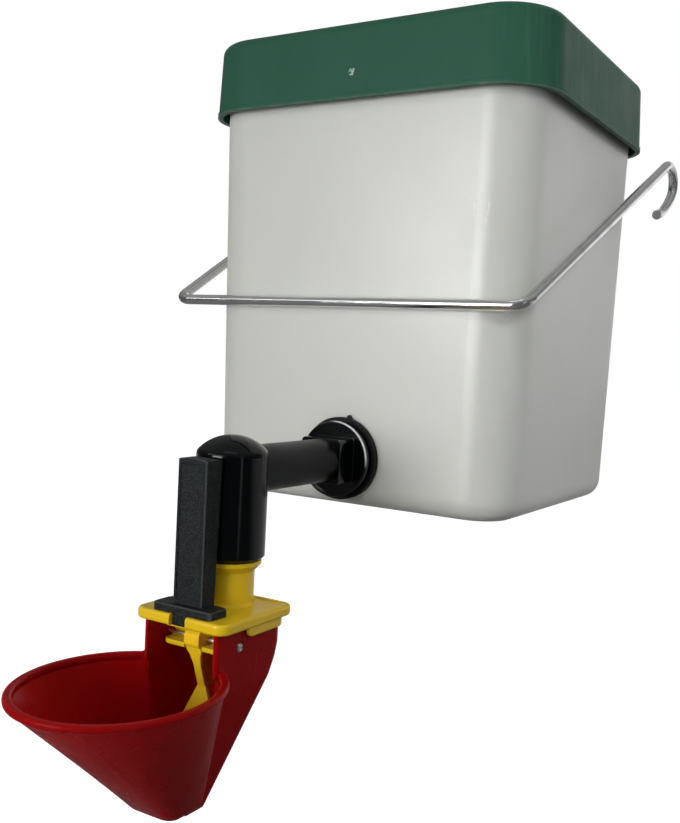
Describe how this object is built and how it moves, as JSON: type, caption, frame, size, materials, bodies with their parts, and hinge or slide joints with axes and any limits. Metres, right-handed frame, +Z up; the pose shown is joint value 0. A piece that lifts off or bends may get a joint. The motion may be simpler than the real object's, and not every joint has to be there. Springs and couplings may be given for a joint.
{
  "type": "hanging poultry chick waterer",
  "caption": "Lidded tank in a wire hanger that feeds a small drinking cup through a pipe, an elbow and a valve opened by a tongue in the cup.",
  "frame": {"origin": "midway between the centres of the two hook bends, where the rail or mesh wire that carries the waterer lies", "axes": "+X to the right seen from the front, +Y from the drinking cup to the back of the tank and the fence it hangs on, +Z up"},
  "size_m": [0.2218, 0.3528, 0.3225],
  "materials": {
    "tank_plastic": "milky moulded plastic, slightly translucent",
    "lid_plastic": "satin dark green moulded plastic",
    "galvanised_wire": "bright galvanised wire",
    "black_rubber": "black rubber",
    "black_gloss_plastic": "glossy black moulded plastic",
    "black_matte_plastic": "fine matte black plastic",
    "yellow_plastic": "glossy yellow moulded plastic",
    "grey_plastic": "plain grey moulded plastic",
    "pin_steel": "bright drawn steel",
    "red_plastic": "glossy deep red moulded plastic"
  },
  "bodies": {
    "tank_body": {"tank": "tank_plastic", "wire_hanger": "galvanised_wire", "outlet_washer": "black_rubber", "outlet_fitting": "black_gloss_plastic", "outlet_lock_nut": "black_gloss_plastic", "pipe_seal": "black_rubber", "supply_pipe": "black_matte_plastic", "elbow": "black_gloss_plastic"},
    "lid": {"lid": "lid_plastic"},
    "drinker_head": {"valve_head": "yellow_plastic", "swivel_seal": "black_rubber", "inlet_strainer": "grey_plastic", "seat_retainer": "grey_plastic", "valve_seat": "black_rubber", "hinge_pin": "pin_steel", "drinking_cup": "red_plastic", "locking_post": "black_matte_plastic"},
    "tongue": {"tongue": "yellow_plastic"},
    "valve_stem": {"valve_stem": "pin_steel"}
  },
  "joints": [
    {"name": "lid_lift", "type": "slide", "parent": "tank_body", "child": "lid", "axis": [0, 0, 1], "range_m": [0, 0.06]},
    {"name": "head_swivel", "type": "hinge", "parent": "tank_body", "child": "drinker_head", "pos_m": [0.007, -0.24193, -0.17922], "axis": [0, 0, 1], "range_deg": [-90, 90]},
    {"name": "tongue_hinge", "type": "hinge", "parent": "drinker_head", "child": "tongue", "pos_m": [0.007, -0.25623, -0.21282], "axis": [1, 0, 0], "range_deg": [0, 8]},
    {"name": "valve_lift", "type": "slide", "parent": "drinker_head", "child": "valve_stem", "axis": [0, 0, 1], "range_m": [0, 0.0021]}
  ],
  "couplings": [
    {"joint": "valve_lift", "follows": "tongue_hinge", "m_per_rad": 0.0143}
  ]
}
